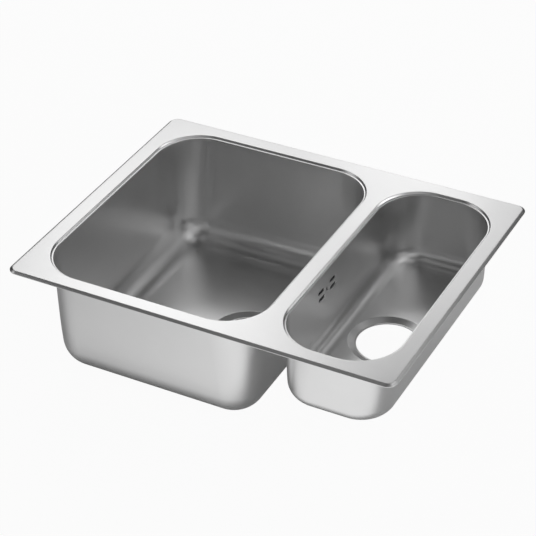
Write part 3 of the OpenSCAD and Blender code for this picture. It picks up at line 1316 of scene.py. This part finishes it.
@dataclass
class Studio:
    """Camera, lamps, pale floor and dim surround.

    Reflections see the floor white where both glows are up. Each rises between its two places,
    in metres: ahead towards the front, and across to the right.
    """

    azimuth: float = math.radians(28.292)
    elevation: float = math.radians(34.903)
    roll: float = math.radians(-1.184)
    target: tuple[float, float, float] = (26.63, -63.56, 0.0)
    distance: float = 2540.4
    focal_pixels: float = 1866.6
    image_side: float = 536.0
    sensor: float = 36.0
    clip: tuple[float, float] = (0.1, 50.0)
    floor_level: float = -179.2
    floor_reach: float = 6.0
    floor_tone: float = 0.9
    white_share: float = 0.95
    glow_ahead: tuple[float, float] = (0.18, 0.26)
    glow_across: tuple[float, float] = (-0.8, 0.12)
    surround: float = 0.035
    softboxes: tuple[Softbox, ...] = (
        Softbox(345, 25, 0.6, 0.6), Softbox(345, 35, 0.5, 0.6), Softbox(0, 25, 1.8),
        Softbox(45, 45, 2.8), Softbox(60, 6, 8.3), Softbox(72, 68, 1.7), Softbox(90, 6, 8.6),
        Softbox(90, 45, 2.5), Softbox(120, 25, 1.4), Softbox(135, 45, 1.4), Softbox(150, 25, 1.3),
        Softbox(180, 25, 1.0), Softbox(216, 68, 0.8), Softbox(240, 25, 4.2), Softbox(315, 45, 5.1),
        Softbox(330, 25, 3.2),
    )

    def _camera(self) -> None:
        """Places the camera where the photograph was taken from."""
        back = Vector((
            math.sin(self.azimuth) * math.cos(self.elevation),
            -math.cos(self.azimuth) * math.cos(self.elevation),
            math.sin(self.elevation),
        ))
        lens = bpy.data.cameras.new("camera")
        lens.sensor_width = self.sensor
        lens.lens = self.sensor * self.focal_pixels / self.image_side
        lens.clip_start, lens.clip_end = self.clip
        camera = bpy.data.objects.new("camera", lens)
        camera.location = Vector(self.target) * MM + back * self.distance * MM
        camera.rotation_mode = "QUATERNION"
        level = (-back).to_track_quat("-Z", "Y")
        camera.rotation_quaternion = level @ Quaternion((0, 0, 1), self.roll)
        bpy.context.scene.collection.objects.link(camera)
        bpy.context.scene.camera = camera

    def _glow(self, shop: NodeShop) -> Wire:
        """Gives the share of plain white in the floor, which reflections see only in front.

        Args:
            shop: Adds the nodes.

        Returns:
            The share.
        """
        camera = shop.node("ShaderNodeLightPath", result="Is Camera Ray")
        glow = shop.node("ShaderNodeLightPath", result="Is Glossy Ray")
        place = shop.node("ShaderNodeTexCoord", result="Object")
        for kind, way, (start, end) in (
            ("LINEAR", (1, 0, 0), self.glow_across), ("SMOOTHSTEP", (0, -1, 0), self.glow_ahead)
        ):
            along = shop.node(
                "ShaderNodeVectorMath", {"operation": "DOT_PRODUCT"}, {0: place, 1: way}, "Value"
            )
            glow = glow * shop.node(
                "ShaderNodeMapRange", {"interpolation_type": kind},
                {"Value": along, "From Min": start, "From Max": end},
            )
        return camera * self.white_share + glow

    def _floor(self) -> None:
        """Lays the pale floor, which keeps a soft shadow."""
        bm = bmesh.new()
        bmesh.ops.create_grid(bm, x_segments=1, y_segments=1, size=self.floor_reach)
        bmesh.ops.translate(bm, vec=(0, 0, self.floor_level * MM), verts=bm.verts[:])
        floor = finished(bm, "floor")
        material = bpy.data.materials.new("floor_white")
        shop = NodeShop(material)
        pale = (*(self.floor_tone,) * 3, 1)
        matt = shop.node("ShaderNodeBsdfDiffuse", sockets={"Color": pale})
        white = shop.node("ShaderNodeEmission", sockets={"Strength": 1.0})
        both = shop.node("ShaderNodeMixShader", sockets={0: self._glow(shop), 1: matt, 2: white})
        shop.node("ShaderNodeOutputMaterial", sockets={"Surface": both})
        floor.data.materials.append(material)

    def _world(self) -> None:
        """Surrounds the scene with dim, even light, and shows the camera plain white."""
        world = bpy.data.worlds.new("surround")
        bpy.context.scene.world = world
        shop = NodeShop(world)
        camera = shop.node("ShaderNodeLightPath", result="Is Camera Ray")
        strength = camera * self.white_share + self.surround
        glow = shop.node(
            "ShaderNodeBackground", sockets={"Color": (1, 1, 1, 1), "Strength": strength}
        )
        shop.node("ShaderNodeOutputWorld", sockets={"Surface": glow})

    def build(self) -> None:
        """Sets up the whole studio."""
        self._camera()
        self._floor()
        self._world()
        for softbox in self.softboxes:
            softbox.hang()
        bpy.context.scene.view_settings.view_transform = "Standard"


def main() -> None:
    """Builds the studio and the sink, and reports each piece."""
    logging.basicConfig(level=logging.INFO, format="%(name)s: %(message)s")
    wardrobe = Wardrobe()
    large = Bowl("large_bowl", LARGE_OPENING, depth=178.0, fillet=42.0, drain=(-39.4, -4.9))
    small = OverflowBowl(
        "small_bowl", SMALL_OPENING, depth=112.0, fillet=22.0, drain=(183.6, -9.4)
    )
    Studio().build()
    pieces = [
        Deck().build(wardrobe),
        large.build(wardrobe),
        small.build(wardrobe),
        RimSeal().build(wardrobe),
        SoundPad("large_sound_pad").build(wardrobe),
        SoundPad("small_sound_pad").build(wardrobe),
        # The dark patch behind the overflow slots is painted shade.
        GapShadePatch().build(wardrobe),
        *ClampSet().build(wardrobe),
    ]
    for piece in pieces:
        LOG.info("%s: %d faces", piece.name, len(piece.data.polygons))
    bpy.context.view_layer.update()


if __name__ == "__main__":
    main()
